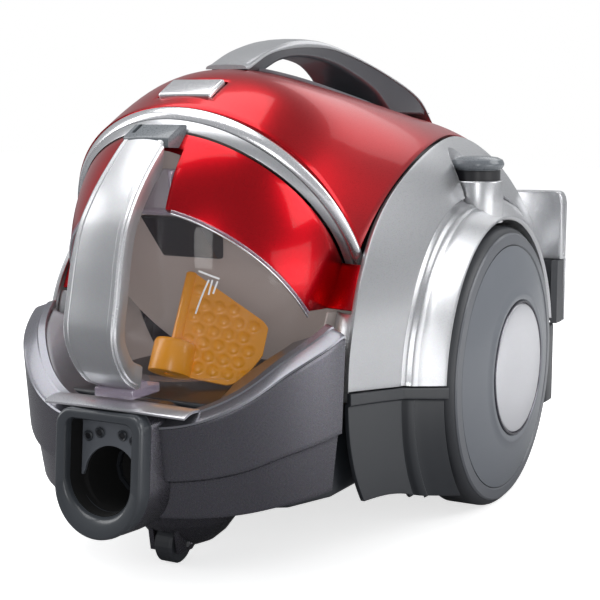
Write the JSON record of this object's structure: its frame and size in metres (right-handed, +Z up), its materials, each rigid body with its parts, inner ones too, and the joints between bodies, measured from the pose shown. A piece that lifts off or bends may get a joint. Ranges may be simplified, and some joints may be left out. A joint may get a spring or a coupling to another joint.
{
  "type": "canister vacuum cleaner",
  "caption": "Bagless canister vacuum cleaner with a clear lift-out dust bin, domed cover, carry handle, large side wheels and a swivelling caster.",
  "frame": {"origin": "on the floor under the middle of the machine's bounding box", "axes": "+X to the power pedal side, +Y from the hose inlet to the rear stand, +Z up"},
  "size_m": [0.274, 0.412, 0.3035],
  "materials": {
    "red_paint": "deep metallic red, clear coated",
    "silver_paint": "silver metallic paint, satin",
    "gunmetal_paint": "dark gunmetal pearl paint",
    "cradle_silver": "grey metallic paint, satin",
    "dark_plastic": "moulded, satin",
    "black_plastic": "moulded, satin",
    "wheel_grey": "moulded, satin",
    "tyre_rubber": "matte",
    "clear_plastic": "clear, faint violet tint, polished",
    "orange_plastic": "translucent amber, moulded dimples",
    "steel": "machined",
    "foam": "open-cell foam and filter felt",
    "white_plastic": "moulded",
    "circuit_green": "lacquered board"
  },
  "bodies": {
    "body": {"arch_band": "silver_paint", "axle_left": "steel", "axle_right": "steel", "bin_bay_wall": "black_plastic", "bin_cradle": "cradle_silver", "carry_handle": "silver_paint", "control_board": "circuit_green", "cord_outlet": "black_plastic", "cord_reel_shaft": "steel", "cord_rewind_pedal_spring": "steel", "exhaust_filter": "foam", "front_bumper": "gunmetal_paint", "handle_grip": "dark_plastic", "handle_tray": "wheel_grey", "hose_inlet_collar": "dark_plastic", "hose_inlet_neck": "dark_plastic", "inlet_duct": "dark_plastic", "lower_chassis": "dark_plastic", "motor_end_cover": "dark_plastic", "motor_front_seal": "tyre_rubber", "motor_housing": "black_plastic", "motor_stator": "steel", "open_button_spring": "steel", "pedal_column_left": "silver_paint", "pedal_column_right": "silver_paint", "plate_drive_motor": "steel", "power_pedal_spring": "steel", "pre_motor_filter": "foam", "rear_cover": "silver_paint", "rear_stand_left": "silver_paint", "rear_stand_right": "silver_paint", "side_shell_left": "silver_paint", "side_shell_right": "silver_paint", "stand_pad_left": "tyre_rubber", "stand_pad_right": "tyre_rubber", "top_cover": "red_paint", "wheel_arch_left": "silver_paint", "wheel_arch_right": "silver_paint"},
    "bin": {"bin_body": "clear_plastic", "bin_lid": "red_paint", "lid_recess_liner": "clear_plastic", "bin_handle": "silver_paint", "bin_latch": "dark_plastic", "cyclone_guide": "black_plastic"},
    "compression_plate": {"compression_plate": "orange_plastic"},
    "plate_coupling": {"plate_coupling": "white_plastic"},
    "open_button": {"open_button": "silver_paint"},
    "power_pedal": {"power_pedal": "dark_plastic"},
    "cord_rewind_pedal": {"cord_rewind_pedal": "dark_plastic"},
    "right_wheel": {"tyre_right": "tyre_rubber", "wheel_disc_right": "wheel_grey", "hub_cap_right": "silver_paint"},
    "left_wheel": {"tyre_left": "tyre_rubber", "wheel_disc_left": "wheel_grey", "hub_cap_left": "silver_paint"},
    "caster_swivel": {"caster_fork": "dark_plastic", "caster_axle": "steel"},
    "caster_wheel": {"caster_wheel": "tyre_rubber"},
    "fan_rotor": {"fan_rotor": "steel"},
    "cord_reel": {"cord_reel_drum": "white_plastic"}
  },
  "joints": [
    {"name": "bin_lift", "type": "slide", "parent": "body", "child": "bin", "axis": [0, -0.7828, 0.6222], "range_m": [0, 0.18]},
    {"name": "compression_plate_turn", "type": "hinge", "parent": "bin", "child": "compression_plate", "pos_m": [0, -0.131, 0.109], "axis": [0, 0.4202, 0.9074], "range_deg": [-20, 125]},
    {"name": "plate_coupling_turn", "type": "hinge", "parent": "body", "child": "plate_coupling", "pos_m": [0, -0.131, 0.109], "axis": [0, 0.4202, 0.9074], "range_deg": [-20, 125]},
    {"name": "open_button_press", "type": "slide", "parent": "body", "child": "open_button", "axis": [0, 0.454, -0.891], "range_m": [0, 0.003], "stiffness_N_per_m": 400, "springref_m": -0.001, "deforming": ["open_button_spring"]},
    {"name": "power_pedal_press", "type": "slide", "parent": "body", "child": "power_pedal", "axis": [0, 0, -1], "range_m": [0, 0.004], "stiffness_N_per_m": 800, "springref_m": -0.001, "deforming": ["power_pedal_spring"]},
    {"name": "cord_rewind_pedal_press", "type": "slide", "parent": "body", "child": "cord_rewind_pedal", "axis": [0, 0, -1], "range_m": [0, 0.004], "stiffness_N_per_m": 800, "springref_m": -0.001, "deforming": ["cord_rewind_pedal_spring"]},
    {"name": "right_wheel_roll", "type": "hinge", "parent": "body", "child": "right_wheel", "pos_m": [0.098, 0.075, 0.092], "axis": [1, 0, 0], "continuous": true},
    {"name": "left_wheel_roll", "type": "hinge", "parent": "body", "child": "left_wheel", "pos_m": [-0.098, 0.075, 0.092], "axis": [1, 0, 0], "continuous": true},
    {"name": "caster_swivel_turn", "type": "hinge", "parent": "body", "child": "caster_swivel", "pos_m": [0, -0.113, 0.045], "axis": [0, 0, 1], "continuous": true},
    {"name": "caster_wheel_roll", "type": "hinge", "parent": "caster_swivel", "child": "caster_wheel", "pos_m": [0, -0.128, 0.012], "axis": [1, 0, 0], "continuous": true},
    {"name": "fan_spin", "type": "hinge", "parent": "body", "child": "fan_rotor", "pos_m": [-0.02, 0.034, 0.128], "axis": [0, 1, 0], "continuous": true},
    {"name": "cord_reel_spin", "type": "hinge", "parent": "body", "child": "cord_reel", "pos_m": [0.02, 0.118, 0.128], "axis": [0, 1, 0], "continuous": true}
  ],
  "couplings": [
    {"joint": "plate_coupling_turn", "follows": "compression_plate_turn", "ratio": 1}
  ]
}
